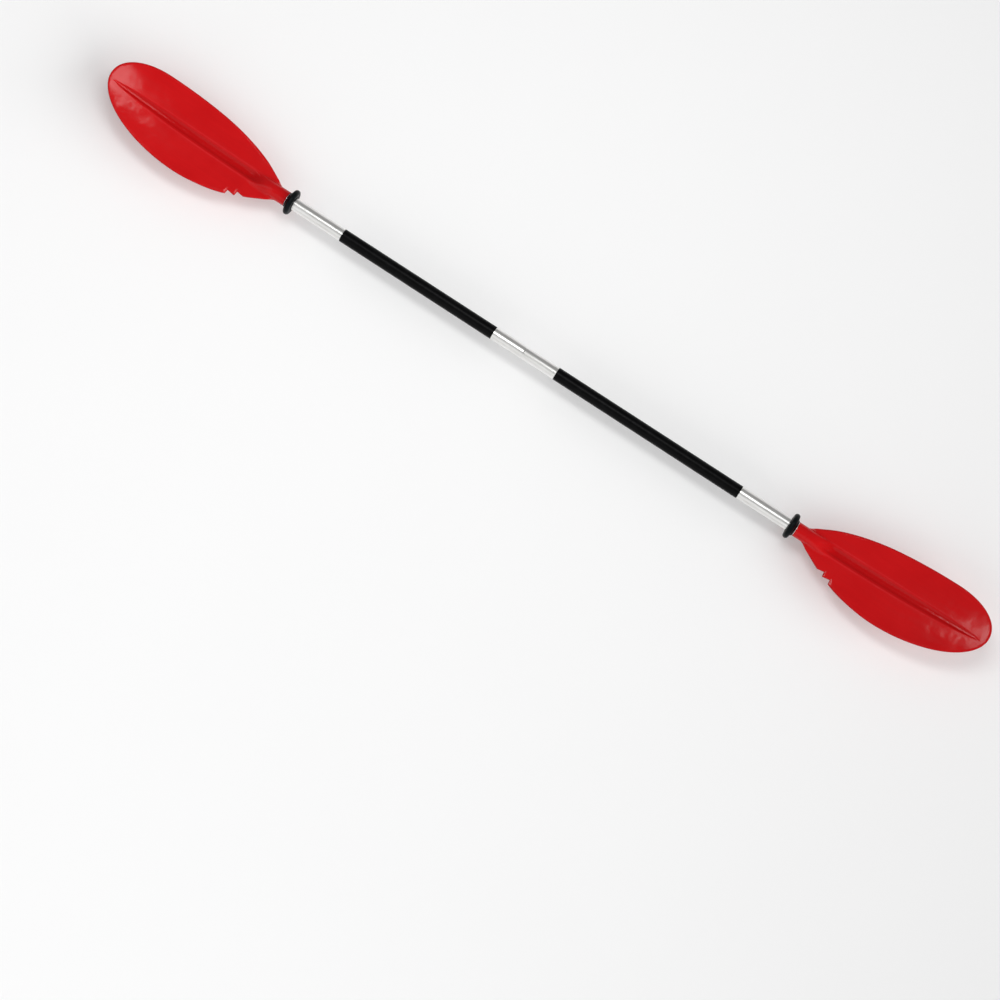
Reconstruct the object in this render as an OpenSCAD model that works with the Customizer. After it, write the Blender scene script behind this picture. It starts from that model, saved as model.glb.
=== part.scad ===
// Two-piece kayak paddle, in millimetres.
// X runs along the shaft, with the ferrule seam at 0 and the socket half on +X.
// Y runs across the blades, with their longer edges on +Y. Z points out of the power faces.

/* [Shaft] */

// outside diameter of the shaft tubes
shaft_d = 28; // [25:0.5:32]
// wall of the shaft tubes
shaft_wall = 1; // [0.8:0.1:2]
// distance from the seam to the drip ring, socket half
ring_x_socket = 664; // [500:1:800]
// distance from the seam to the drip ring, spigot half
ring_x_spigot = 588; // [450:1:750]

/* [Ferrule] */

// length of the swaged spigot
spigot_len = 65; // [45:1:90]
// radial clearance between spigot and socket
ferrule_gap = 0.07; // [0.03:0.01:0.1]
// length of the swaged shoulder
shoulder_len = 5; // [3:0.5:10]
// distance from the seam to the snap button
button_x = 33; // [20:1:50]
// diameter of the snap button
button_d = 7; // [5:0.5:9]
// radial clearance of the button in its holes
button_gap = 0.25; // [0.1:0.05:0.5]
// how far the button stands out of the spigot
button_rise = 4.5; // [3:0.1:6]
// angle of the two feathering holes
feather_deg = 60; // [30:5:75]

/* [Spring clip] */

// width of the spring strip
clip_w = 9; // [7:0.5:11]
// thickness of the spring strip
clip_t = 0.6; // [0.4:0.1:0.8]

/* [Grips] */

// thickness of the shrunk grip sleeves
grip_t = 0.5; // [0.3:0.1:1.5]
// distance from the seam to each grip
grip_x = 78; // [60:1:120]
// length of the grip, socket half
grip_len_socket = 456; // [300:1:500]
// length of the grip, spigot half
grip_len_spigot = 380; // [300:1:450]

/* [Drip rings] */

// outside diameter of a drip ring
ring_d = 58; // [45:1:75]
// length of a drip ring's hub
ring_w = 18; // [10:1:25]
// radial clearance of a drip ring on the shaft
ring_gap = 0.05; // [0.02:0.01:0.1]

/* [Blades] */

// length from the drip ring to the tip
blade_len = 464; // [400:1:520]
// reach of the longer edge from the shaft's axis
reach_up = 84; // [70:1:100]
// reach of the shorter edge from the shaft's axis
reach_low = 82.5; // [70:0.5:100]
// thickness of the blade's web
web_t = 4.4; // [3:0.2:6]
// how far the tip rises above the shaft's axis
spoon = 30; // [10:1:50]
// how far the edges rise above the middle
dish = 5; // [0:0.5:12]
// wall of the neck around the shaft
neck_wall = 2.5; // [1.5:0.1:5]
// depth of the shaft's socket in the neck
socket_len = 36; // [30:1:60]
// depth of the groove in the power face
groove_depth = 5; // [2:0.5:8]

/* [Rivets] */

// diameter of a rivet's shank
rivet_d = 3.2; // [2.4:0.1:4.8]
// distance from the neck's end to the rivet
rivet_at = 22; // [15:1:28]

/* [Plugs] */

// length of the foam plugs
plug_len = 45; // [20:1:100]

/* [Hidden] */

$fn = 48;

shaft_r = shaft_d / 2;
bore_r = shaft_r - shaft_wall;
spigot_r = bore_r - ferrule_gap;
spigot_bore_r = spigot_r - shaft_wall;
hole_r = button_d / 2 + button_gap;
neck_r = shaft_r + neck_wall;
rivet_r = rivet_d / 2;

// a blade's own lengths count from its drip ring towards its tip
neck_at = ring_w / 2 + 1;
socket_end = neck_at + socket_len;
tube_end = socket_end - 1;
wing_at = neck_at + 24;
dome_end = socket_end + 74;
groove_at = socket_end + 14;
groove_end = blade_len - 14;
tip_y = 19;
spoon_power = 2.5;

// middle line of the strip's straight pads, below the axis
clip_z = sqrt(pow(spigot_bore_r - 0.05, 2) - pow(clip_w / 2, 2)) - clip_t / 2;
pad_from = button_x - 6;
pad_to = button_x + 8;
clip_bend_x = button_x - 41;
clip_bend_r = 2.5;

plug_x_spigot = clip_bend_x - 10;
plug_x_socket = spigot_len + 12;

tooth_root_r = 1.5;

// ---- curves ----

function clamp01(v) = min(1, max(0, v));
function ease(a, b, u) = let (v = clamp01((u - a) / (b - a))) v * v * (3 - 2 * v);
function lerp(a, b, f) = a + (b - a) * f;

// smooth curve through points [u, y], level at both ends
function slope(p, i) =
  i == 0 || i == len(p) - 1 ? 0 : (p[i + 1].y - p[i - 1].y) / (p[i + 1].x - p[i - 1].x);
function span(p, u, i = 0) = i >= len(p) - 2 || u < p[i + 1].x ? i : span(p, u, i + 1);
function hermite(a, b, ma, mb, h, f) =
  a * (1 + 2 * f) * (1 - f) * (1 - f) + b * f * f * (3 - 2 * f)
  + h * ma * f * (1 - f) * (1 - f) - h * mb * f * f * (1 - f);
function curve(p, u) =
  u <= p[0].x ? p[0].y
  : u >= p[len(p) - 1].x ? p[len(p) - 1].y
  : let (i = span(p, u), h = p[i + 1].x - p[i].x)
    hermite(p[i].y, p[i + 1].y, slope(p, i), slope(p, i + 1), h, (u - p[i].x) / h);

// blade outline: a flank curve from the neck, then a rounded end
function flank(u, reach) =
  let (k = reach - neck_r)
  neck_r + k * curve(
    [[30, 0], [50, 0.15], [90, 0.44], [140, 0.68], [200, 0.86], [270, 0.965], [340, 1]], u
  );
function round_off(u, from, p) = pow(max(0, 1 - pow(clamp01((u - from) / (blade_len - from)), p)), 1 / p);
function edge_up(u) = tip_y + (flank(u, reach_up) - tip_y) * round_off(u, blade_len - 114, 2.2);
function flank_low(u) =
  let (k = reach_low - neck_r)
  neck_r + k * curve([[30, 0], [50, 0.15], [90, 0.45], [140, 0.76], [190, 0.93], [245, 1]], u);
function edge_low(u) = tip_y - (flank_low(u) + tip_y) * round_off(u, blade_len - 219, 1.93);

// groove: how far along it, its middle line and its half width
function along(u) = clamp01((u - groove_at) / (groove_end - groove_at));
function groove_y(u) = 2 + 7 * pow(along(u), 1.6);
function groove_w(u) = 13 * pow(1 - pow(along(u), 4), 0.6);

function mid_z(u, y) =
  let (c = (edge_up(u) + edge_low(u)) / 2, w = (edge_up(u) - edge_low(u)) / 2)
  spoon * pow(clamp01((u - 60) / (blade_len - 60)), spoon_power)
  + dish * ease(60, 200, u) * (1 - ease(360, blade_len, u)) * pow((y - c) / max(w, 1), 2);

// softened half circle, used for the neck and for the spine that runs on from it
function soft(q, k) = (q + sqrt(q * q + pow(k, 4))) / 2;
function dome(u, y) =
  sqrt(soft(neck_r * neck_r - y * y, 6 * ease(wing_at, wing_at + 20, u)))
  * (1 - ease(socket_end - 6, dome_end, u));
function spine_w(u) = lerp(neck_r, 6, ease(socket_end, blade_len - 60, u));
function spine_h(u) = lerp(neck_r, 9, ease(socket_end, 150, u)) * (1 - ease(200, blade_len - 6, u));
function spine(u, y) =
  let (w = spine_w(u), v = y - groove_y(u) * ease(60, 100, u))
  spine_h(u) / w * sqrt(soft(w * w - v * v, 6 * ease(wing_at, wing_at + 20, u)));
function half_web(u) = web_t / 2 * ease(wing_at - 4, wing_at + 14, u) * (1 - 0.3 * ease(150, blade_len, u));

// rounded edge: 0 on the outline, 1 a few millimetres inside it
function edge_fall(u, y) =
  let (e = 0.01 + 5 * ease(wing_at, wing_at + 18, u), gap = min(edge_up(u) - y, y - edge_low(u)))
  sqrt(max(0, 1 - pow(1 - clamp01(gap / e), 2)));
function groove(u, y) =
  let (v = abs(y - groove_y(u)) / max(groove_w(u), 0.5))
  groove_depth * ease(groove_at, groove_at + 44, u)
  * pow(1 - pow(along(u), 2), 0.6)
  * (1 - ease(0.2, 1, v));

function top_z(u, y) =
  mid_z(u, y)
  + edge_fall(u, y) * (sqrt(pow(dome(u, y), 2) + pow(half_web(u), 2)) - groove(u, y));
function low_z(u, y) =
  mid_z(u, y) - edge_fall(u, y) * sqrt(pow(spine(u, y), 2) + pow(half_web(u), 2));

// columns across a section, closer together at the groove and at the edges
side_n = 8;
mid_n = 5;
function column(u, i) =
  let (
    c = lerp(groove_y(u) * ease(60, 100, u), tip_y, ease(groove_end, blade_len, u)),
    w = lerp(8, 13, ease(wing_at, dome_end, u)) * clamp01((blade_len - u) / 60)
  )
  abs(i) <= mid_n ? c + w * i / mid_n
  : i > 0 ? lerp(c + w, edge_up(u), sin(90 * (i - mid_n) / side_n))
  : lerp(c - w, edge_low(u), sin(90 * (-i - mid_n) / side_n));
half_n = side_n + mid_n;

function section(u) = concat(
  [for (i = [-half_n : half_n]) let (y = column(u, i)) [u, y, top_z(u, y)]],
  [for (i = [half_n - 1 : -1 : 1 - half_n]) let (y = column(u, i)) [u, y, low_z(u, y)]]
);

stations = concat(
  [neck_at, neck_at + 12],
  [for (u = [wing_at - 4 : 4 : dome_end + 8]) u],
  [for (u = [dome_end + 16 : 10 : blade_len - 76]) u],
  [for (k = [0 : 11]) blade_len - 70 * pow(1 - k / 12, 1.8)]
);

// ---- general shapes ----

// closed skin over equal rings of points, flat at the first ring and pointed at the last
module skin(rings, tip) {
  n = len(rings[0]);
  m = len(rings);
  points = concat([for (r = rings) each r], [tip]);
  sides = [for (i = [0 : m - 2]) for (j = [0 : n - 1]) each [
    [i * n + j, (i + 1) * n + j, i * n + (j + 1) % n],
    [i * n + (j + 1) % n, (i + 1) * n + j, (i + 1) * n + (j + 1) % n]
  ]];
  back = [[for (j = [0 : n - 1]) j]];
  nose = [for (j = [0 : n - 1]) [(m - 1) * n + j, m * n, (m - 1) * n + (j + 1) % n]];
  polyhedron(points, concat(sides, back, nose), convexity = 8);
}

// solid of revolution about X, from a profile of [x, r] points
module turned(profile) {
  rotate([90, 0, 90])
    rotate_extrude($fn = 72)
      polygon([for (p = profile) [p.y, p.x]]);
}

// round bar along X
module bar(r, from, to) {
  translate([from, 0, 0])
    rotate([0, 90, 0])
      cylinder(r = r, h = to - from);
}

// round bar that points down from the axis, turned about X
module drop(r, from, to, turn = 0) {
  rotate([turn, 0, 0])
    translate([0, 0, -to])
      cylinder(r = r, h = to - from);
}

// strip of even thickness along a path in X and Z
function unit(v) = v / norm(v);
function side_of(p, i) =
  let (a = p[max(0, i - 1)], b = p[min(len(p) - 1, i + 1)], d = unit(b - a))
  [-d.y, d.x];
module strip(path, t, w) {
  left = [for (i = [0 : len(path) - 1]) path[i] + side_of(path, i) * t / 2];
  right = [for (i = [len(path) - 1 : -1 : 0]) path[i] - side_of(path, i) * t / 2];
  rotate([90, 0, 0])
    linear_extrude(height = w, center = true)
      polygon(concat(left, right));
}

// ---- blades ----

// saw-tooth notch in the shorter edge: a long inner side, and a steep side up to the tooth's tip
module notch(from, root, tip) {
  y_from = edge_low(from);
  y_tip = edge_low(tip);
  y_root = lerp(y_from, y_tip, 0.5) + 6;
  translate([0, 0, -30])
    linear_extrude(height = 60)
      polygon([
        [from, y_from - 6], [from, y_from], [root - tooth_root_r, y_root - 0.3],
        [root, y_root + tooth_root_r / 2], [root + tooth_root_r / 2, y_root - tooth_root_r],
        [tip, y_tip], [tip, y_tip - 6]
      ]);
}

module blade() {
  difference() {
    skin([for (u = stations) section(u)], [blade_len, tip_y, mid_z(blade_len, tip_y)]);
    bar(shaft_r, neck_at - 1, socket_end);
    notch(91, 107, 107.5);
    notch(109.5, 126, 126.5);
    translate([neck_at + rivet_at, 0, 0])
      drop(rivet_r + 0.1, 5, neck_r + 2);
  }
}

module blade_right() {
  color([0.70, 0.07, 0.09])
    translate([ring_x_socket, 0, 0])
      blade();
}

module blade_left() {
  color([0.78, 0.10, 0.11])
    translate([-ring_x_spigot, 0, 0])
      mirror([1, 0, 0])
        blade();
}

// ---- shafts ----

module shaft_spigot() {
  end = -ring_x_spigot - tube_end;
  steps = 8;
  outer = [for (k = [0 : steps])
    let (f = k / steps)
    [-shoulder_len * (1 - f), lerp(shaft_r, spigot_r, (1 - cos(180 * f)) / 2)]];
  inner = [for (p = outer) [p.x, p.y - shaft_wall]];
  color([0.83, 0.83, 0.81])
    difference() {
      turned(concat(
        [[end, bore_r], [end, shaft_r]], outer,
        [[spigot_len - 0.4, spigot_r], [spigot_len, spigot_r - 0.3], [spigot_len, spigot_bore_r]],
        [for (k = [steps : -1 : 0]) inner[k]]
      ));
      translate([button_x, 0, 0])
        drop(hole_r, 5, shaft_r + 2);
      translate([-ring_x_spigot - neck_at - rivet_at, 0, 0])
        drop(rivet_r + 0.1, 5, shaft_r + 2);
    }
}

module shaft_socket() {
  end = ring_x_socket + tube_end;
  color([0.83, 0.83, 0.81])
    difference() {
      turned([
        [0, bore_r + 0.3], [0, shaft_r - 0.3], [0.3, shaft_r],
        [end, shaft_r], [end, bore_r], [0.3, bore_r]
      ]);
      for (a = [-feather_deg, 0, feather_deg])
        translate([button_x, 0, 0])
          drop(hole_r, 5, shaft_r + 2, a);
      translate([ring_x_socket + neck_at + rivet_at, 0, 0])
        drop(rivet_r + 0.1, 5, shaft_r + 2);
    }
}

// ---- grips and drip rings ----

module grip(from, to) {
  r = shaft_r + grip_t;
  color([0.05, 0.05, 0.05])
    turned([
      [from, shaft_r], [from, r - 0.2], [from + 0.4, r],
      [to - 0.4, r], [to, r - 0.2], [to, shaft_r]
    ]);
}

module grip_left() {
  grip(-grip_x - grip_len_spigot, -grip_x);
}

module grip_right() {
  grip(grip_x, grip_x + grip_len_socket);
}

// hub with a thick flange that leans towards the grip; the blade is on +X
module drip_ring() {
  r = shaft_r + ring_gap;
  rim = ring_d / 2;
  h = ring_w / 2;
  lip = 6.2;
  round_rim = [for (a = [0 : 15 : 180]) [-1.5 + lip * cos(a), rim - lip + lip * sin(a)]];
  color([0.07, 0.08, 0.08])
    turned(concat(
      [[h, r], [h, r + 2.2], [h - 1, r + 3.2], [5.5, r + 5.5]],
      round_rim,
      [[-8, r + 4.5], [1 - h, r + 2.4], [-h, r + 1.4], [-h, r]]
    ));
}

module drip_ring_right() {
  translate([ring_x_socket, 0, 0])
    drip_ring();
}

module drip_ring_left() {
  translate([-ring_x_spigot, 0, 0])
    mirror([1, 0, 0])
      drip_ring();
}

// ---- snap button clip ----

// the clip's button end: a pad of the strip with the domed button drawn out of it
module snap_button() {
  r = button_d / 2;
  dome_z = spigot_r + button_rise - r;
  color([0.62, 0.58, 0.52])
    translate([button_x, 0, 0])
      union() {
        translate([pad_from - button_x, -clip_w / 2, -clip_z - clip_t / 2])
          cube([pad_to - pad_from, clip_w, clip_t]);
        drop(r, clip_z, dome_z);
        rotate([180, 0, 0])
          translate([0, 0, dome_z])
            intersection() {
              sphere(r = r, $fn = 48);
              cylinder(r = r + 1, h = r + 1);
            }
      }
}

// the rest of the clip: a V of strip whose other leg bears on the far wall
module snap_spring() {
  r = clip_bend_r;
  tilt = atan((clip_z - r) / (pad_from - clip_bend_x));
  bend = [for (a = [-90 + tilt : 15 : 90]) [clip_bend_x - r * cos(a), r * sin(a)]];
  color([0.60, 0.58, 0.55])
    strip(concat(
      [[pad_from - 0.05, -clip_z], [pad_from - 3, -clip_z + 0.2]],
      bend,
      [[pad_from - 3, clip_z - 0.2], [pad_from, clip_z], [pad_to, clip_z]]
    ), clip_t, clip_w);
}

// ---- plugs and rivets ----

module foam_plug_spigot() {
  color([0.20, 0.20, 0.21])
    bar(bore_r - 0.05, plug_x_spigot - plug_len, plug_x_spigot);
}

module foam_plug_socket() {
  color([0.20, 0.20, 0.21])
    bar(bore_r, plug_x_socket, plug_x_socket + plug_len);
}

// blind rivet through the back of the neck and the tube
module rivet() {
  head = neck_r + 0.03;
  color([0.75, 0.75, 0.76])
    union() {
      drop(rivet_r, bore_r - 1.5, head + 0.2);
      drop(rivet_r + 0.7, bore_r - 2, bore_r - 0.4);
      rotate([180, 0, 0])
        translate([0, 0, head])
          cylinder(r1 = rivet_r * 2, r2 = rivet_r * 1.2, h = 1);
    }
}

module blade_rivet_right() {
  translate([ring_x_socket + neck_at + rivet_at, 0, 0])
    rivet();
}

module blade_rivet_left() {
  translate([-ring_x_spigot - neck_at - rivet_at, 0, 0])
    rivet();
}

blade_left();
blade_right();
shaft_spigot();
shaft_socket();
grip_left();
grip_right();
drip_ring_left();
drip_ring_right();
snap_button();
snap_spring();
foam_plug_spigot();
foam_plug_socket();
blade_rivet_left();
blade_rivet_right();
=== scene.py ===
import math

import bmesh
import bpy
import numpy as np
from mathutils import Matrix, Vector, noise


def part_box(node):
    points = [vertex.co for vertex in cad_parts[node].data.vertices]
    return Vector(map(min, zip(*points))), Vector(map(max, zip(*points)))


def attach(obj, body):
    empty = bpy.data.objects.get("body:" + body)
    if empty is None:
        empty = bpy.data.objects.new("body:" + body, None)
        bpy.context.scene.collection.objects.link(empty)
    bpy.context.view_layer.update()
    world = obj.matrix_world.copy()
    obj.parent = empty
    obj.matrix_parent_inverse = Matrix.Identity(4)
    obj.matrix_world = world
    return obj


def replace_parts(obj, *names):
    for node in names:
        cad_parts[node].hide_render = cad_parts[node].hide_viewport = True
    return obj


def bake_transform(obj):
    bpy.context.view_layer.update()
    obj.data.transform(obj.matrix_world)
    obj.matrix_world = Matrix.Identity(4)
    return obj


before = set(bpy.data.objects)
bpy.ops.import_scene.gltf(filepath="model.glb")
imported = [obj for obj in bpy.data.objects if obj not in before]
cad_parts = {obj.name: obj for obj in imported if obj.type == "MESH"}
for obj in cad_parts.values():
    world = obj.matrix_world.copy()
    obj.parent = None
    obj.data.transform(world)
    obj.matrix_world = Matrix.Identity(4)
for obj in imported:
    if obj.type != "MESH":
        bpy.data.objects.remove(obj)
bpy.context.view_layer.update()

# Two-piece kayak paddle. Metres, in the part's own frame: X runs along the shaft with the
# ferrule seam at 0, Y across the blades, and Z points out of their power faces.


# ---- sizes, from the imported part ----

def centre_x(node):
    low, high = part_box(node)
    return (low.x + high.x) / 2


MM = 0.001
RING_RIGHT = centre_x("drip_ring_right")
RING_LEFT = centre_x("drip_ring_left")
BLADE_LOW, BLADE_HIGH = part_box("blade_right")
SHAFT_R = round(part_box("shaft_socket")[1].z, 4)
RING_LOW, RING_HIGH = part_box("drip_ring_right")
RING_R = RING_HIGH.z
RING_HALF = (RING_HIGH.x - RING_LOW.x) / 2
FEATHER = math.radians(60)
FLOOR_Z = -BLADE_HIGH.y * math.sin(FEATHER) - 0.003  # a blade turned to its last hole still clears it

SHAFT_WALL = 0.001
BORE_R = SHAFT_R - SHAFT_WALL
SPIGOT_R = BORE_R - 0.00007
SPIGOT_BORE_R = SPIGOT_R - SHAFT_WALL
SHOULDER = 0.005
BUTTON_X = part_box("snap_button")[0].x + 0.006
BUTTON_R = 0.0035
CLIP_HALF_T = 0.0003
CLIP_HALF_W = 0.0045
CLIP_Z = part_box("snap_spring")[1].z - CLIP_HALF_T


# ---- mesh helpers ----

def new_object(name, mesh, body, slot, *materials):
    """Make an object at the origin that rides on a body."""
    piece = bpy.data.objects.new(name, mesh)
    bpy.context.scene.collection.objects.link(piece)
    for material in materials:
        mesh.materials.append(material)
    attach(piece, body)
    return piece


def smooth(mesh, sharp_deg=35):
    """Shade smooth, with the edges sharper than the angle kept sharp."""
    bm = bmesh.new()
    bm.from_mesh(mesh)
    bmesh.ops.recalc_face_normals(bm, faces=bm.faces)
    for face in bm.faces:
        face.smooth = True
    for edge in bm.edges:
        edge.smooth = len(edge.link_faces) == 2 and edge.calc_face_angle(0) < math.radians(sharp_deg)
    bm.to_mesh(mesh)
    bm.free()


def rounded(profile, radius, steps=4):
    """Round every corner of a closed profile of (x, r) points with a short arc."""
    points = [Vector(p) for p in profile]
    out = []
    for i, corner in enumerate(points):
        before = points[i - 1] - corner
        after = points[(i + 1) % len(points)] - corner
        reach = min(radius, before.length * 0.45, after.length * 0.45)
        start = corner + before.normalized() * reach
        end = corner + after.normalized() * reach
        for k in range(steps + 1):
            f = k / steps
            out.append(start * (1 - f) ** 2 + corner * 2 * f * (1 - f) + end * f * f)
    return out


def turned_mesh(name, profile, around=96, closed=True, wobble=None):
    """Turn a profile of (x, r) points about X. wobble(x, angle) adds to the radius."""
    verts = []
    for x, r in profile:
        for k in range(around):
            angle = 2 * math.pi * k / around
            radius = r + (wobble(x, angle) if wobble else 0)
            verts.append((x, radius * math.cos(angle), radius * math.sin(angle)))
    faces = []
    rows = len(profile)
    for i in range(rows if closed else rows - 1):
        j = (i + 1) % rows
        for k in range(around):
            m = (k + 1) % around
            faces.append((i * around + k, i * around + m, j * around + m, j * around + k))
    if not closed:
        faces.append(tuple(range(around)))
        faces.append(tuple(range((rows - 1) * around, rows * around)))
    mesh = bpy.data.meshes.new(name)
    mesh.from_pydata(verts, [], faces)
    smooth(mesh)
    return mesh


def drilled(mesh, radius, holes):
    """The mesh with round holes through its wall, each at (x, angle about X from straight down)."""
    body = bpy.data.objects.new("drilled", mesh)
    bpy.context.scene.collection.objects.link(body)
    drills = []
    for x, angle in holes:
        bm = bmesh.new()
        bmesh.ops.create_cone(bm, cap_ends=True, segments=64, radius1=radius, radius2=radius, depth=0.012)
        drill_mesh = bpy.data.meshes.new("drill")
        bm.to_mesh(drill_mesh)
        bm.free()
        drill_mesh.transform(Matrix.Translation((x, 0, 0)) @ Matrix.Rotation(angle, 4, "X")
                             @ Matrix.Translation((0, 0, -SHAFT_R)))
        drill = bpy.data.objects.new("drill", drill_mesh)
        bpy.context.scene.collection.objects.link(drill)
        drills.append(drill)
        cut = body.modifiers.new("cut", "BOOLEAN")
        cut.operation = "DIFFERENCE"
        cut.solver = "EXACT"
        cut.object = drill
    bpy.context.view_layer.update()
    out = bpy.data.meshes.new_from_object(body.evaluated_get(bpy.context.evaluated_depsgraph_get()))
    for piece in [body] + drills:
        bpy.data.objects.remove(piece)
    bm = bmesh.new()
    bm.from_mesh(out)
    bmesh.ops.remove_doubles(bm, verts=bm.verts, dist=1e-6)
    bm.to_mesh(out)
    bm.free()
    smooth(out)
    return out


def strip_mesh(name, path, half_t, half_w, steps=4):
    """A strip with rounded edges, swept along a path of (x, z) points."""
    points = [Vector(p) for p in path]
    corner = half_t * 0.8
    outline = []
    for sx, sz, turn in ((1, 1, 0), (-1, 1, 90), (-1, -1, 180), (1, -1, 270)):
        for k in range(steps + 1):
            angle = math.radians(turn + 90 * k / steps)
            outline.append((sx * (half_w - corner) + corner * math.cos(angle),
                            sz * (half_t - corner) + corner * math.sin(angle)))
    n = len(outline)
    verts, faces = [], []
    for i, here in enumerate(points):
        along = (points[min(i + 1, len(points) - 1)] - points[max(i - 1, 0)]).normalized()
        across = Vector((-along.y, along.x))
        for y, d in outline:
            at = here + across * d
            verts.append((at.x, y, at.y))
    for i in range(len(points) - 1):
        for k in range(n):
            m = (k + 1) % n
            faces.append((i * n + k, i * n + m, (i + 1) * n + m, (i + 1) * n + k))
    faces.append(tuple(range(n)))
    faces.append(tuple(range((len(points) - 1) * n, len(points) * n)))
    mesh = bpy.data.meshes.new(name)
    mesh.from_pydata(verts, [], faces)
    smooth(mesh, 50)
    return mesh


def even_path(path, step):
    """The same path with its points no further apart than a step."""
    out = [Vector(path[0])]
    for a, b in zip(path, path[1:]):
        a, b = Vector(a), Vector(b)
        n = max(1, math.ceil((b - a).length / step))
        out += [a.lerp(b, k / n) for k in range(1, n + 1)]
    return out


def joined(name, *meshes):
    """One mesh of several."""
    bm = bmesh.new()
    for mesh in meshes:
        bm.from_mesh(mesh)
    out = bpy.data.meshes.new(name)
    bm.to_mesh(out)
    bm.free()
    return out


def point_down(mesh, x):
    """Lay a mesh that was turned about X along -Z instead, at a place on the axis."""
    mesh.transform(Matrix.Translation((x, 0, 0)) @ Matrix.Rotation(math.pi / 2, 4, "Y"))


def mirror_x(mesh):
    mesh.transform(Matrix.Scale(-1, 4, (1, 0, 0)))
    mesh.flip_normals()


# ---- materials ----

class Shader:
    """A Principled material whose textures are laid out in the part's own metres."""

    def __init__(self, name, roughness, metallic=0.0, specular=0.5):
        self.material = bpy.data.materials.new(name)
        self.material.use_nodes = True
        self.tree = self.material.node_tree
        self.shader = self.tree.nodes["Principled BSDF"]
        self.shader.inputs["Roughness"].default_value = roughness
        self.shader.inputs["Metallic"].default_value = metallic
        self.shader.inputs["Specular IOR Level"].default_value = specular
        self.place = self.node("ShaderNodeTexCoord").outputs["Object"]

    def node(self, kind, **settings):
        node = self.tree.nodes.new(kind)
        for key, value in settings.items():
            setattr(node, key, value)
        return node

    def link(self, source, target):
        self.tree.links.new(source, target)

    def stretched(self, scale):
        """The place, scaled by a different amount along each axis."""
        mapping = self.node("ShaderNodeMapping")
        mapping.inputs["Scale"].default_value = scale
        self.link(self.place, mapping.inputs["Vector"])
        return mapping.outputs["Vector"]

    def noise(self, scale, detail=2.0, rough=0.5, along=(1, 1, 1)):
        node = self.node("ShaderNodeTexNoise")
        node.inputs["Scale"].default_value = scale
        node.inputs["Detail"].default_value = detail
        node.inputs["Roughness"].default_value = rough
        self.link(self.stretched(along), node.inputs["Vector"])
        return node.outputs["Fac"]

    def cells(self, scale, feature="F1"):
        node = self.node("ShaderNodeTexVoronoi", feature=feature)
        node.inputs["Scale"].default_value = scale
        self.link(self.place, node.inputs["Vector"])
        return node.outputs["Distance"]

    def attribute(self, name):
        return self.node("ShaderNodeAttribute", attribute_name=name).outputs["Fac"]

    def ramp(self, source, low, high, out_low=0.0, out_high=1.0):
        """Map low..high to out_low..out_high, clamped."""
        node = self.node("ShaderNodeMapRange")
        for key, value in zip(("From Min", "From Max", "To Min", "To Max"), (low, high, out_low, out_high)):
            node.inputs[key].default_value = value
        self.link(source, node.inputs["Value"])
        return node.outputs["Result"]

    def maths(self, operation, a, b):
        node = self.node("ShaderNodeMath", operation=operation)
        for value, socket in zip((a, b), node.inputs):
            if isinstance(value, (int, float)):
                socket.default_value = value
            else:
                self.link(value, socket)
        return node.outputs["Value"]

    def mix(self, factor, a, b):
        """Mix two colours, each a socket or an (r, g, b)."""
        node = self.node("ShaderNodeMix", data_type="RGBA")
        self.link(factor, node.inputs["Factor"])
        for value, key in ((a, 6), (b, 7)):
            if isinstance(value, tuple):
                node.inputs[key].default_value = (*value, 1)
            else:
                self.link(value, node.inputs[key])
        return node.outputs[2]

    def colour(self, socket):
        self.link(socket, self.shader.inputs["Base Color"])

    def roughness(self, socket):
        self.link(socket, self.shader.inputs["Roughness"])

    def bump(self, *layers):
        """Stack bumps, each a (height socket, depth in metres)."""
        normal = None
        for height, depth in layers:
            node = self.node("ShaderNodeBump")
            node.inputs["Strength"].default_value = 1.0
            node.inputs["Distance"].default_value = depth
            self.link(height, node.inputs["Height"])
            if normal is not None:
                self.link(normal, node.inputs["Normal"])
            normal = node.outputs["Normal"]
        self.link(normal, self.shader.inputs["Normal"])


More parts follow.
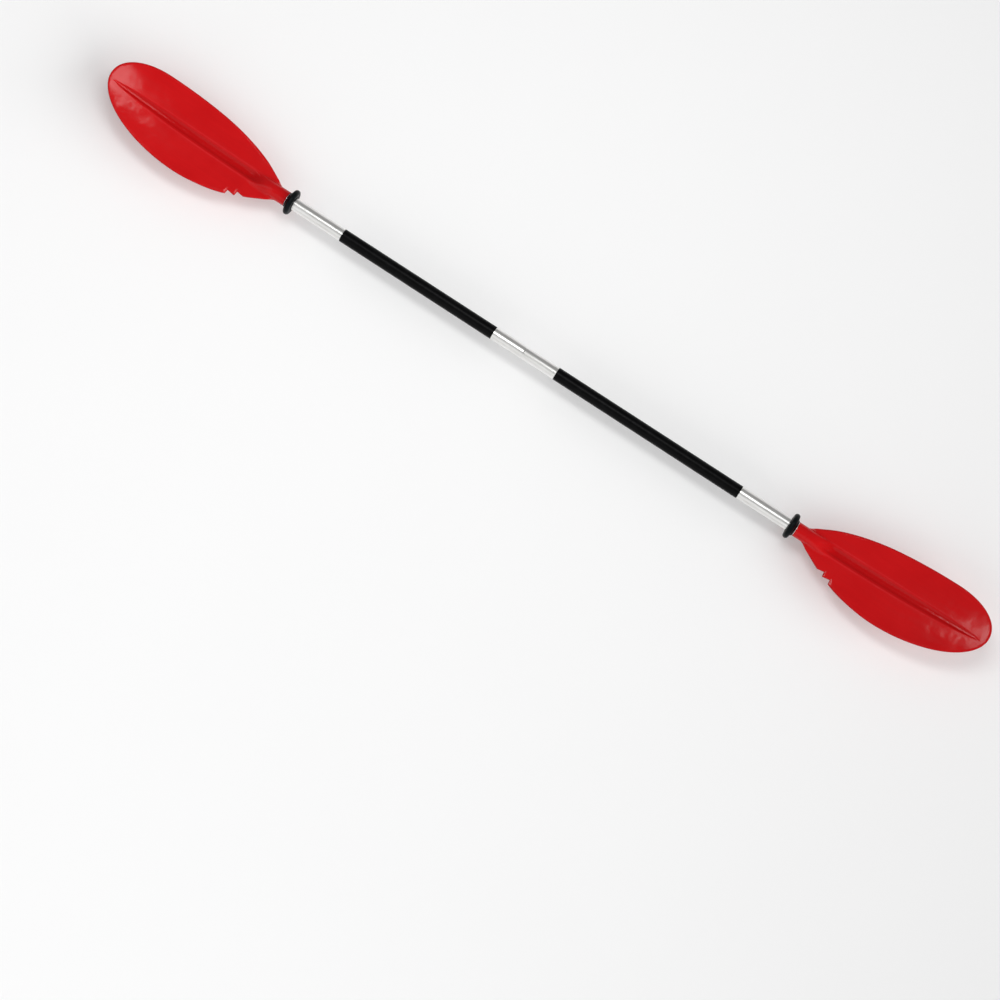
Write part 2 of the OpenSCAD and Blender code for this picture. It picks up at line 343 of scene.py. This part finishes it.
def blade_plastic():
    """Moulded red plastic: faint flow marks, an orange-peel skin and rubbed edges, with painted shade in the groove
    and on the outermost edge and a painted highlight along the groove's lips.
    """
    s = Shader("blade_plastic", roughness=0.12, specular=0.16)
    clouds = s.ramp(s.noise(14, 3), 0.35, 0.65)
    flow = s.ramp(s.noise(5, 4, 0.6, along=(2, 26, 26)), 0.38, 0.62)
    red = s.mix(clouds, (0.52, 0.0040, 0.0055), (0.55, 0.0055, 0.0070))
    red = s.mix(s.maths("MULTIPLY", flow, 0.35), red, (0.48, 0.0025, 0.0040))
    # Painted shade: the groove's floor and walls are coloured a darker red, mottled a little by noise.
    groove_shade_mottle = s.ramp(s.noise(40, 3, 0.6, along=(0.4, 1, 1)), 0.3, 0.7, 0.75, 1.0)
    red = s.mix(s.maths("MULTIPLY", s.attribute("groove_shade"), groove_shade_mottle), red, (0.43, 0.0008, 0.0018))
    rim = s.attribute("rim")
    # Painted shade: the outermost two millimetres of the edge, where it rolls down, are coloured darker.
    red = s.mix(s.ramp(rim, 0.72, 0.92, 0.0, 0.65), red, (0.26, 0.0030, 0.0070))
    hair = s.noise(34, 5, 0.6, along=(1.0, 3.5, 1.0))
    scratch = s.ramp(s.maths("ABSOLUTE", s.maths("SUBTRACT", hair, 0.5), 0), 0.0015, 0.0, 0, 1)
    patch = s.ramp(s.noise(23, 2), 0.52, 0.66)
    rubbed = s.maths("MULTIPLY", s.ramp(s.noise(160, 4, 0.7), 0.50, 0.72), s.ramp(rim, 0.35, 0.8))
    # Painted highlight: the lips along the groove are coloured lighter, as if they caught the light; it joins the real
    # scratches and rubbed wear below.
    lip_highlight = s.maths("MULTIPLY", s.attribute("lip"), s.ramp(s.noise(60, 2), 0.3, 0.7, 0.5, 1.0))
    wear_and_lip_highlight = s.maths("ADD", s.maths("MULTIPLY", s.maths("MULTIPLY", scratch, patch), 0.25),
                   s.maths("ADD", s.maths("MULTIPLY", rubbed, 0.3), s.maths("MULTIPLY", lip_highlight, 0.28)))
    s.colour(s.mix(wear_and_lip_highlight, red, (0.70, 0.045, 0.055)))
    grain = s.noise(900, 3, 0.6)
    s.roughness(s.maths("ADD", s.ramp(flow, 0, 1, 0.09, 0.14), s.maths("MULTIPLY", wear_and_lip_highlight, 0.3)))
    s.bump((grain, 0.00001), (s.noise(160, 2), 0.00004), (s.noise(44, 2), 0.00030), (s.noise(17, 1), 0.0004))
    return s.material


def shaft_metal():
    """Satin anodised tube: a fine blasted grain over lines left by the drawing die."""
    s = Shader("shaft_metal", roughness=0.3, metallic=1.0)
    tone = s.ramp(s.noise(18, 3, along=(1, 4, 4)), 0.35, 0.65)
    s.colour(s.mix(tone, (0.80, 0.795, 0.775), (0.88, 0.875, 0.86)))
    drawn = s.noise(1, 2, 0.5, along=(3, 900, 900))
    grain = s.noise(3800, 2, 0.7)
    s.roughness(s.maths("ADD", s.ramp(drawn, 0.3, 0.7, 0.28, 0.36), s.ramp(grain, 0.3, 0.7, -0.03, 0.04)))
    s.bump((grain, 0.000006), (drawn, 0.000008))
    return s.material


def grip_sleeve():
    """Black shrunk sleeve: a soft sheen, a leathery grain and lengthwise draw marks."""
    s = Shader("grip_sleeve", roughness=0.5, specular=0.08)
    dust = s.ramp(s.noise(60, 4, 0.6), 0.45, 0.7)
    s.colour(s.mix(dust, (0.0008, 0.0008, 0.0010), (0.0028, 0.0028, 0.0032)))
    grain = s.cells(1500, "SMOOTH_F1")
    drawn = s.noise(1, 3, 0.6, along=(5, 330, 330))
    s.roughness(s.ramp(s.noise(300, 3, 0.6), 0.3, 0.7, 0.30, 0.42))
    s.bump((grain, 0.00002), (drawn, 0.00002))
    return s.material


def ring_rubber():
    """Black rubber with a faint bloom and a fine spark-eroded skin."""
    s = Shader("ring_rubber", roughness=0.42, specular=0.10)
    bloom = s.ramp(s.noise(110, 4, 0.6), 0.42, 0.7)
    s.colour(s.mix(bloom, (0.0010, 0.0022, 0.0028), (0.0040, 0.0065, 0.0075)))
    s.roughness(s.ramp(s.noise(420, 3, 0.6), 0.3, 0.7, 0.34, 0.5))
    s.bump((s.noise(2600, 2, 0.6), 0.00002), (s.noise(420, 2), 0.00003))
    return s.material


def spring_steel():
    """Plated spring strip with rolling lines and darker tarnish."""
    s = Shader("spring_steel", roughness=0.25, metallic=1.0)
    tarnish = s.ramp(s.noise(260, 4, 0.6), 0.42, 0.68)
    s.colour(s.mix(tarnish, (0.62, 0.57, 0.50), (0.42, 0.37, 0.31)))
    rolled = s.noise(1, 2, 0.5, along=(60, 2600, 400))
    s.roughness(s.ramp(rolled, 0.3, 0.7, 0.2, 0.34))
    s.bump((rolled, 0.00001))
    return s.material


def foam():
    """Closed-cell foam: packed bubbles cut open at the surface."""
    s = Shader("foam", roughness=0.92, specular=0.2)
    # Painted shade: each cut bubble is coloured darker towards its middle, where the bump sinks it into a pit.
    cell = s.ramp(s.cells(1100), 0.0, 0.75)
    s.colour(s.mix(cell, (0.012, 0.012, 0.014), (0.038, 0.038, 0.042)))
    s.bump((cell, 0.0003), (s.noise(3000, 2), 0.00005))
    return s.material


def rivet_metal():
    """Plain aluminium, with the marks of the setting tool."""
    s = Shader("rivet_metal", roughness=0.38, metallic=1.0)
    scuff = s.ramp(s.noise(900, 4, 0.6), 0.4, 0.65)
    s.colour(s.mix(scuff, (0.78, 0.78, 0.79), (0.58, 0.58, 0.59)))
    s.roughness(s.ramp(scuff, 0, 1, 0.3, 0.48))
    s.bump((s.noise(2200, 2), 0.00002))
    return s.material


PLASTIC = blade_plastic()
METAL = shaft_metal()
SLEEVE = grip_sleeve()
RUBBER = ring_rubber()
STEEL = spring_steel()
FOAM = foam()
RIVET = rivet_metal()


# ---- blades ----
# The blade's own sizes are in millimetres, counted from its drip ring towards its tip.

BLADE_LEN = (BLADE_HIGH.x - RING_RIGHT) / MM
REACH_UP = BLADE_HIGH.y / MM
REACH_LOW = 82.5
TIP_Y = 19
SPOON = BLADE_HIGH.z / MM - 1.4
DISH = 5
WEB = 4.4
NECK_R = SHAFT_R / MM + 2.5
NECK_AT = (BLADE_LOW.x - RING_RIGHT) / MM
SOCKET_END = NECK_AT + 36
WING_AT = NECK_AT + 24
DOME_END = SOCKET_END + 74
GROOVE_AT = SOCKET_END + 14
GROOVE_DEPTH = 5
GROOVE_END = BLADE_LEN - 14
TEETH = ((91, 107, 107.5), (109.5, 126, 126.5))
FLANK_UP = ((30, 0), (50, 0.15), (90, 0.44), (140, 0.68), (200, 0.86), (270, 0.965), (340, 1))
FLANK_LOW = ((30, 0), (50, 0.15), (90, 0.45), (140, 0.76), (190, 0.93), (245, 1))


def clamp01(v):
    return min(1.0, max(0.0, v))


def ease(a, b, u):
    v = clamp01((u - a) / (b - a))
    return v * v * (3 - 2 * v)


def lerp(a, b, f):
    return a + (b - a) * f


def curve(points, u):
    """Smooth curve through (u, value) points, level at both ends."""
    if u <= points[0][0]:
        return points[0][1]
    if u >= points[-1][0]:
        return points[-1][1]

    def slope(i):
        if i == 0 or i == len(points) - 1:
            return 0.0
        return (points[i + 1][1] - points[i - 1][1]) / (points[i + 1][0] - points[i - 1][0])

    i = max(k for k in range(len(points) - 1) if points[k][0] <= u)
    h = points[i + 1][0] - points[i][0]
    f = (u - points[i][0]) / h
    return (points[i][1] * (1 + 2 * f) * (1 - f) ** 2 + points[i + 1][1] * f * f * (3 - 2 * f)
            + h * slope(i) * f * (1 - f) ** 2 - h * slope(i + 1) * f * f * (1 - f))


def round_off(u, start, power):
    return max(0.0, 1 - clamp01((u - start) / (BLADE_LEN - start)) ** power) ** (1 / power)


def edge_up(u):
    flank = NECK_R + (REACH_UP - NECK_R) * curve(FLANK_UP, u)
    return TIP_Y + (flank - TIP_Y) * round_off(u, BLADE_LEN - 114, 2.2)


def edge_low(u):
    flank = NECK_R + (REACH_LOW - NECK_R) * curve(FLANK_LOW, u)
    return TIP_Y - (flank + TIP_Y) * round_off(u, BLADE_LEN - 219, 1.93)


def sharp_teeth(u):
    """Lower edge with its two saw-teeth, whose tips point at the neck."""
    for start, root, tip in TEETH:
        if start < u < tip:
            y_start, y_tip = edge_low(start), edge_low(tip)
            y_root = (y_start + y_tip) / 2 + 6
            if u < root:
                return lerp(y_start, y_root, (u - start) / (root - start))
            return lerp(y_root, y_tip, (u - root) / (tip - root))
    return edge_low(u)


def toothed_low(u):
    """The same edge with the teeth's corners softened."""
    return sum(sharp_teeth(u + k * 0.2) for k in (-2, -1, 0, 1, 2)) / 5 if u < 150 else edge_low(u)


def along_groove(u):
    return clamp01((u - GROOVE_AT) / (GROOVE_END - GROOVE_AT))


def groove_y(u):
    return 2 + 7 * along_groove(u) ** 1.6


def ease_all(a, b, v):
    w = np.clip((v - a) / (b - a), 0, 1)
    return w * w * (3 - 2 * w)


def soft(q, k):
    return (q + np.sqrt(q * q + k ** 4)) / 2


def outline(edge):
    """Fine points along an edge, for the distance to it."""
    near = np.arange(NECK_AT, BLADE_LEN - 20, 0.5)
    end = BLADE_LEN - 20 * (1 - np.linspace(0, 1, 160)) ** 2.5
    at = np.concatenate([near, end])
    return np.array([(u, edge(u)) for u in at])


def distance_to(line, u, y):
    """Distance from points (u, y) to a line of points, looked for near u only."""
    near = np.abs(line[:, 0] - u) < 9
    near[:-1] |= near[1:]
    a = line[near][:-1]
    b = line[near][1:]
    p = np.stack([np.full_like(y, u), y], axis=1)[:, None, :]
    ab = (b - a)[None]
    t = np.clip(((p - a[None]) * ab).sum(2) / np.maximum((ab * ab).sum(2), 1e-12), 0, 1)
    return np.sqrt((((a[None] + ab * t[..., None]) - p) ** 2).sum(2)).min(1)


MID_N = 13
SIDE_N = 15
ARC_N = 7


def columns(u, up, low, edge_w):
    """Places across a section, closer at the groove and around the rounded edges."""
    c = lerp(groove_y(u) * ease(60, 100, u), TIP_Y, ease(GROOVE_END, BLADE_LEN, u))
    w = lerp(8, 16.5, ease(WING_AT, DOME_END, u)) * clamp01((BLADE_LEN - u) / 60)
    winged = ease(WING_AT, WING_AT + 18, u)

    def side(start, edge):
        n = SIDE_N + ARC_N
        span = edge - start
        arc = math.copysign(min(edge_w, abs(span) * 0.45), span)
        out = []
        for i in range(1, n + 1):
            on_neck = start + span * math.sin(math.pi / 2 * i / n)
            if i <= SIDE_N:
                on_wing = start + (span - arc) * i / SIDE_N
            else:
                on_wing = edge - arc * (1 - math.sin(math.pi / 2 * (i - SIDE_N) / ARC_N))
            out.append(lerp(on_neck, on_wing, winged))
        return out

    middle = [c + w * i / MID_N for i in range(-MID_N, MID_N + 1)]
    return np.array(side(c - w, low)[::-1] + middle + side(c + w, up))


def section(u, line_up, line_low):
    """One ring of points around the blade at u, and each one's share of rim (rubbed wear and a painted shade at the
    edge), painted groove shade and lip (a painted highlight).
    """
    up, low, toothed = edge_up(u), edge_low(u), toothed_low(u)
    edge_w = 0.01 + 5 * ease(WING_AT, WING_AT + 18, u)
    y = columns(u, up, toothed, edge_w)
    middle, half = (up + low) / 2, (up - low) / 2
    mid_z = (SPOON * clamp01((u - 60) / (BLADE_LEN - 60)) ** 2.5
             + DISH * ease(60, 200, u) * (1 - ease(360, BLADE_LEN, u)) * ((y - middle) / max(half, 1)) ** 2)
    softness = 6 * ease(WING_AT, WING_AT + 20, u)
    dome = np.sqrt(soft(NECK_R ** 2 - y ** 2, softness)) * (1 - ease(SOCKET_END - 6, DOME_END, u))
    spine_w = lerp(NECK_R, 6, ease(SOCKET_END, BLADE_LEN - 60, u))
    spine_h = lerp(NECK_R, 9, ease(SOCKET_END, 150, u)) * (1 - ease(200, BLADE_LEN - 6, u))
    from_groove = y - groove_y(u) * ease(60, 100, u)
    spine = spine_h / spine_w * np.sqrt(soft(spine_w ** 2 - from_groove ** 2, softness))
    half_web = WEB / 2 * ease(WING_AT - 4, WING_AT + 14, u) * (1 - 0.3 * ease(150, BLADE_LEN, u))
    across = (y - groove_y(u)) / max(13 * (1 - along_groove(u) ** 4) ** 0.6, 0.5)
    started = ease(GROOVE_AT, GROOVE_AT + 44, u) * (1 - along_groove(u) ** 2) ** 0.6
    groove = GROOVE_DEPTH * started * (1 - ease_all(0.2, 1, np.abs(across)))
    gap = np.minimum(distance_to(line_up, u, y), distance_to(line_low, u, y))
    gap[[0, -1]] = 0
    fall = np.sqrt(np.maximum(0, 1 - (1 - np.clip(gap / edge_w, 0, 1)) ** 2))
    lip = started * np.exp(-((np.abs(across) - 1.1) / 0.11) ** 2)
    # Where the groove's painted shade goes: it fades in after the groove starts and fades out near its end.
    shown = ease(GROOVE_AT, GROOVE_AT + 40, u) * (1 - ease(0.90, 0.98, along_groove(u)))
    groove_shade = shown * (1 - ease_all(0.55, 1.05, np.abs(across)))
    top = mid_z + fall * (np.sqrt(dome ** 2 + half_web ** 2) - groove + 0.25 * lip)
    low_z = mid_z - fall * np.sqrt(spine ** 2 + half_web ** 2)
    ring = [(u, y[i], top[i]) for i in range(len(y))]
    ring += [(u, y[i], low_z[i]) for i in range(len(y) - 2, 0, -1)]
    rim = np.clip(1 - gap / 7, 0, 1) * ease(WING_AT, WING_AT + 30, u)
    back = np.zeros(len(y) - 2)
    shares = [np.concatenate([rim, rim[-2:0:-1]]), np.concatenate([groove_shade, back]), np.concatenate([lip, back])]
    return ring, np.stack(shares, axis=1)


def blade_stations():
    """Places along the blade, closer at the neck, the teeth and the tip."""
    out = []
    u = NECK_AT
    while u < BLADE_LEN - 70:
        out.append(u)
        u += 0.35 if TEETH[0][0] - 2 < u < TEETH[-1][2] + 2 else 2.4
    return out + [BLADE_LEN - 70 * (1 - k / 44) ** 1.8 for k in range(44)]


def blade_mesh():
    """A blade with its neck at the ring's place, as a closed skin with the shaft's socket."""
    line_up, line_low = outline(edge_up), outline(toothed_low)
    verts, shares, faces = [], [], []
    for u in blade_stations():
        ring, share = section(u, line_up, line_low)
        verts += ring
        shares.append(share)
    n = len(ring)
    m = len(verts) // n
    for i in range(m - 1):
        for k in range(n):
            j = (k + 1) % n
            faces.append((i * n + k, i * n + j, (i + 1) * n + j, (i + 1) * n + k))
    tip = len(verts)
    verts.append((BLADE_LEN, TIP_Y, SPOON))
    shares.append(np.array([[1.0, 0.0, 0.0]]))
    faces += [((m - 1) * n + k, (m - 1) * n + (k + 1) % n, tip) for k in range(n)]
    bore = SHAFT_R / MM / NECK_R
    mouth = len(verts)
    for depth in (NECK_AT, SOCKET_END):
        verts += [(depth, y * bore, z * bore) for _, y, z in verts[:n]]
        shares.append(np.zeros((n, 3)))
    for k in range(n):
        j = (k + 1) % n
        faces.append((k, mouth + k, mouth + j, j))
        faces.append((mouth + k, mouth + n + k, mouth + n + j, mouth + j))
    faces.append(tuple(mouth + n + k for k in range(n)))
    mesh = bpy.data.meshes.new("blade")
    mesh.from_pydata([Vector(v) * MM for v in verts], [], faces)
    for name, values in zip(("rim", "groove_shade", "lip"), np.concatenate(shares).T):
        mesh.attributes.new(name, "FLOAT", "POINT").data.foreach_set("value", values)
    smooth(mesh, 40)
    return mesh


def add_blades():
    right = blade_mesh()
    left = right.copy()
    right.transform(Matrix.Translation((RING_RIGHT, 0, 0)))
    mirror_x(left)
    left.transform(Matrix.Translation((RING_LEFT, 0, 0)))
    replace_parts(new_object("blade_skin_right", right, "socket_half", "blade_plastic", PLASTIC), "blade_right")
    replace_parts(new_object("blade_skin_left", left, "spigot_half", "blade_plastic", PLASTIC), "blade_left")


# ---- grips and drip rings ----

def grip(node, body):
    low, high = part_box(node)
    outer = high.z
    lip = 0.0007

    def wobble(x, angle):
        """The sleeve follows small lumps in its wall, and grips a little tighter at its ends."""
        place = Vector((x * 34, math.cos(angle) * 1.1, math.sin(angle) * 1.1))
        return 0.00008 * noise.noise(place) - 0.00008

    length = high.x - low.x
    rows = 150
    skin = [(low.x + lip + (length - 2 * lip) * k / rows, outer) for k in range(rows + 1)]
    start = [(low.x, SHAFT_R + 0.00002), (low.x, outer - 0.00022), (low.x + lip * 0.3, outer - 0.00008)]
    end = [(high.x - lip * 0.3, outer - 0.00008), (high.x, outer - 0.00022), (high.x, SHAFT_R + 0.00002)]
    mesh = turned_mesh(node + "_sleeve", start + skin + end, 96, True, wobble)
    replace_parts(new_object(node + "_sleeve", mesh, body, "grip_sleeve", SLEEVE), node)


def ring_mesh(name):
    """Drip ring with its blade on +X: a hub, and a thick flange that leans to the grip."""
    bore = SHAFT_R + 0.00005
    lip = 0.0062
    half = RING_HALF
    rim = []
    for k in range(25):
        angle = math.pi * k / 24
        rim.append((-0.0015 + lip * math.cos(angle), RING_R - lip + lip * math.sin(angle)))
        if k == 12:
            rim[-1] = (rim[-1][0], RING_R)
    hub_out = [(half, bore), (half, bore + 0.0022), (half - 0.001, bore + 0.0032), (0.0055, bore + 0.0055)]
    hub_in = [(-0.008, bore + 0.0045), (0.001 - half, bore + 0.0024), (-half, bore + 0.0014), (-half, bore)]
    return turned_mesh(name, hub_out + rim + hub_in, 128)


def add_rings():
    right = ring_mesh("ring_right")
    left = ring_mesh("ring_left")
    right.transform(Matrix.Translation((RING_RIGHT, 0, 0)))
    mirror_x(left)
    left.transform(Matrix.Translation((RING_LEFT, 0, 0)))
    for side, mesh in (("right", right), ("left", left)):
        piece = new_object("drip_ring_" + side + "_rubber", mesh, "drip_ring_" + side, "ring_rubber", RUBBER)
        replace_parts(piece, "drip_ring_" + side)


# ---- shafts ----

def add_shafts():
    """Drawn tubes: one swaged down to its spigot, the other plain with three feathering holes."""
    low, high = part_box("shaft_spigot")
    steps = 24
    outer = []
    for k in range(steps + 1):
        f = k / steps
        outer.append((-SHOULDER * (1 - f), lerp(SHAFT_R, SPIGOT_R, (1 - math.cos(math.pi * f)) / 2)))
    inner = [(x, r - SHAFT_WALL) for x, r in outer]
    lip = rounded([(high.x, SPIGOT_BORE_R), (high.x, SPIGOT_R), (0.02, SPIGOT_R), (0.02, SPIGOT_BORE_R)], 0.0005)
    tip = [p for p in lip if p[0] > 0.03]
    back = [(low.x, BORE_R), (low.x, SHAFT_R)]
    profile = back + outer + tip[::-1] + inner[::-1]
    spigot = drilled(turned_mesh("shaft_spigot_tube", profile, 160), BUTTON_R + 0.00025, [(BUTTON_X, 0)])
    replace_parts(new_object("shaft_spigot_tube", spigot, "spigot_half", "shaft_metal", METAL), "shaft_spigot")

    low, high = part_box("shaft_socket")
    mouth = [(0, BORE_R + 0.0003), (0.00008, SHAFT_R - 0.0002), (0.0001, SHAFT_R - 0.00008), (0.0003, SHAFT_R)]
    profile = mouth + [(high.x, SHAFT_R), (high.x, BORE_R), (0.0003, BORE_R)]
    holes = [(BUTTON_X, angle) for angle in (-FEATHER, 0, FEATHER)]
    socket = drilled(turned_mesh("shaft_socket_tube", profile, 160), BUTTON_R + 0.00025, holes)
    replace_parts(new_object("shaft_socket_tube", socket, "socket_half", "shaft_metal", METAL), "shaft_socket")


# ---- snap button clip ----

def add_clip():
    """A V of spring strip with the domed button drawn out of its lower leg."""
    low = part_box("snap_button")[0]
    pad_from, pad_to = BUTTON_X - 0.006, BUTTON_X + 0.008
    dome_at = -low.z - BUTTON_R
    fillet = 0.0009
    profile = [(CLIP_Z, 0.00003)]
    for k in range(9):
        angle = math.pi / 2 * k / 8
        profile.append((CLIP_Z + CLIP_HALF_T + fillet * (1 - math.cos(angle)),
                        BUTTON_R + fillet * (1 - math.sin(angle))))
    profile.append((dome_at - 0.0001, BUTTON_R))
    for k in range(25):
        angle = math.pi / 2 * k / 24
        profile.append((dome_at + BUTTON_R * math.sin(angle), max(BUTTON_R * math.cos(angle), 0.00002)))
    button = turned_mesh("button", profile, 96, closed=False)
    point_down(button, BUTTON_X)
    pad = strip_mesh("pad", even_path([(pad_from, -CLIP_Z), (pad_to, -CLIP_Z)], 0.001), CLIP_HALF_T, CLIP_HALF_W)
    piece = new_object("snap_button_dome", joined("snap_button_dome", button, pad), "snap_button", "spring_steel", STEEL)
    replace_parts(piece, "snap_button")

    bend_r = 0.0025
    bend_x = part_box("snap_spring")[0].x + bend_r + CLIP_HALF_T
    tilt = math.atan((CLIP_Z - bend_r) / (pad_from - bend_x))
    turns = [math.radians(lerp(0, 90 - math.degrees(tilt), k / 10)) for k in range(11)]
    lower = [(bend_x - bend_r * math.cos(a), -bend_r * math.sin(a)) for a in turns]
    upper = [(x, -z) for x, z in lower]
    lower += [(pad_from - 0.003, 0.0002 - CLIP_Z), (pad_from - 0.00005, -CLIP_Z)]
    upper += [(pad_from - 0.003, CLIP_Z - 0.0002), (pad_from, CLIP_Z), (pad_to, CLIP_Z)]
    leg = strip_mesh("snap_spring_leg", even_path(lower, 0.0007), CLIP_HALF_T, CLIP_HALF_W)
    leg = bpy.data.objects.new("snap_spring_leg", leg)
    bpy.context.scene.collection.objects.link(leg)
    leg.data.materials.append(STEEL)
    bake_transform(leg)
    bend = strip_mesh("snap_spring_bend", even_path(upper, 0.0007), CLIP_HALF_T, CLIP_HALF_W)
    bend = new_object("snap_spring_bend", bend, "spigot_half", "spring_steel", STEEL)
    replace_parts(leg, "snap_spring")
    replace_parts(bend, "snap_spring")


# ---- plugs and rivets ----

def plug(node, body):
    """A foam plug, a little lumpy, with a skin of cut bubbles."""
    low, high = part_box(node)
    radius = high.z - 0.0001

    def wobble(x, angle):
        place = Vector((x * 400, math.cos(angle) * 4, math.sin(angle) * 4))
        return 0.0001 * noise.noise(place)

    end = 0.0012
    rows = 60
    profile = [(low.x, 0.0004), (low.x, radius * 0.5)]
    profile += [(low.x + end * (1 - math.cos(math.pi / 2 * k / 8)), radius - end * (1 - math.sin(math.pi / 2 * k / 8)))
                for k in range(9)]
    middle = [(lerp(low.x + end, high.x - end, k / rows), radius) for k in range(1, rows)]
    profile += middle + [(low.x + high.x - x, r) for x, r in reversed(profile)]
    mesh = turned_mesh(node + "_foam", profile, 96, closed=False, wobble=wobble)
    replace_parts(new_object(node + "_foam", mesh, body, "foam", FOAM), node)


def rivet(node, body):
    """A blind rivet: a low domed head with the broken mandrel sunk in its middle."""
    low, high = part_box(node)
    middle = (low.x + high.x) / 2
    head = NECK_R * MM
    shank, flange = 0.0016, 0.0032
    profile = [(head - 0.0055, 0.00003), (head - 0.0055, 0.0021), (head - 0.0042, 0.0023), (head - 0.0036, shank),
               (head + 0.0001, shank), (head + 0.00005, flange - 0.0001)]
    for k in range(13):
        angle = math.pi / 2 * k / 12
        profile.append((head + 0.0002 + 0.0008 * math.sin(angle), 0.0011 + (flange - 0.0011) * math.cos(angle)))
    profile += [(head + 0.0006, 0.0010), (head + 0.0005, 0.0009), (head + 0.00065, 0.0008), (head + 0.0007, 0.00002)]
    mesh = turned_mesh(node + "_head", profile, 64, closed=False)
    point_down(mesh, middle)
    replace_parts(new_object(node + "_head", mesh, body, "rivet_metal", RIVET), node)


add_blades()
grip("grip_left", "spigot_half")
grip("grip_right", "socket_half")
add_rings()
add_shafts()
add_clip()
plug("foam_plug_spigot", "ferrule_slide")
plug("foam_plug_socket", "socket_half")
rivet("blade_rivet_left", "spigot_half")
rivet("blade_rivet_right", "socket_half")


# ---- floor, lights and camera ----

def floor():
    mesh = bpy.data.meshes.new("floor")
    half = 40
    corners = [(-half, -half, FLOOR_Z), (half, -half, FLOOR_Z), (half, half, FLOOR_Z), (-half, half, FLOOR_Z)]
    mesh.from_pydata(corners, [], [(0, 1, 2, 3)])
    piece = bpy.data.objects.new("floor", mesh)
    bpy.context.scene.collection.objects.link(piece)
    s = Shader("floor", roughness=0.9, specular=0.1)
    s.colour(s.mix(s.noise(3, 2), (0.92, 0.92, 0.92), (0.93, 0.93, 0.93)))
    mesh.materials.append(s.material)


def soft_box(name, place, aim, width, depth, watts):
    light = bpy.data.lights.new(name, "AREA")
    light.shape = "RECTANGLE"
    light.size = width
    light.size_y = depth
    light.energy = watts
    lamp = bpy.data.objects.new(name, light)
    bpy.context.scene.collection.objects.link(lamp)
    lamp.location = place
    lamp.rotation_euler = (Vector(aim) - Vector(place)).to_track_quat("-Z", "Y").to_euler()


def lights():
    """A slim box overhead, a wide screen on the shorter edges' side, and a low sun off the right end."""
    soft_box("key", (-0.165, 0.48, 3.0), (-0.165, 0.48, 0), 1.53, 0.55, 24)
    soft_box("screen", (0, -2.7, 1.7), (0, 0, 0), 5.0, 3.0, 32)
    soft_box("left_fill", (-2.2, -0.6, 2.5), (-0.8, 0, 0), 1.5, 1.5, 8)
    light = bpy.data.lights.new("low_sun", "SUN")
    light.energy = 2.6
    light.angle = math.radians(60)
    lamp = bpy.data.objects.new("low_sun", light)
    bpy.context.scene.collection.objects.link(lamp)
    lamp.rotation_euler = (0, math.radians(65), 0)
    lamp.visible_glossy = False
    world = bpy.data.worlds.new("studio")
    bpy.context.scene.world = world
    world.use_nodes = True
    world.node_tree.nodes["Background"].inputs["Color"].default_value = (1, 1, 1, 1)
    world.node_tree.nodes["Background"].inputs["Strength"].default_value = 0.29


CAMERA_AT = Vector((0.35, -0.70, 5.0))
CAMERA_AIM = Vector((0.125, -0.287, 0))
CAMERA_ROLL = math.radians(33.2)
CAMERA_LENS = 86.8


def camera():
    """Looks down on the power faces, turned so the shaft runs down to the right."""
    back = (CAMERA_AT - CAMERA_AIM).normalized()
    right = Vector((math.cos(CAMERA_ROLL), math.sin(CAMERA_ROLL), 0))
    right = (right - back * right.dot(back)).normalized()
    up = back.cross(right)
    data = bpy.data.cameras.new("camera")
    data.lens = CAMERA_LENS
    data.sensor_width = 36
    data.clip_end = 50
    eye = bpy.data.objects.new("camera", data)
    bpy.context.scene.collection.objects.link(eye)
    eye.matrix_world = Matrix.Translation(CAMERA_AT) @ Matrix((right, up, back)).transposed().to_4x4()
    bpy.context.scene.camera = eye


floor()
lights()
camera()
bpy.context.scene.view_settings.view_transform = "Standard"
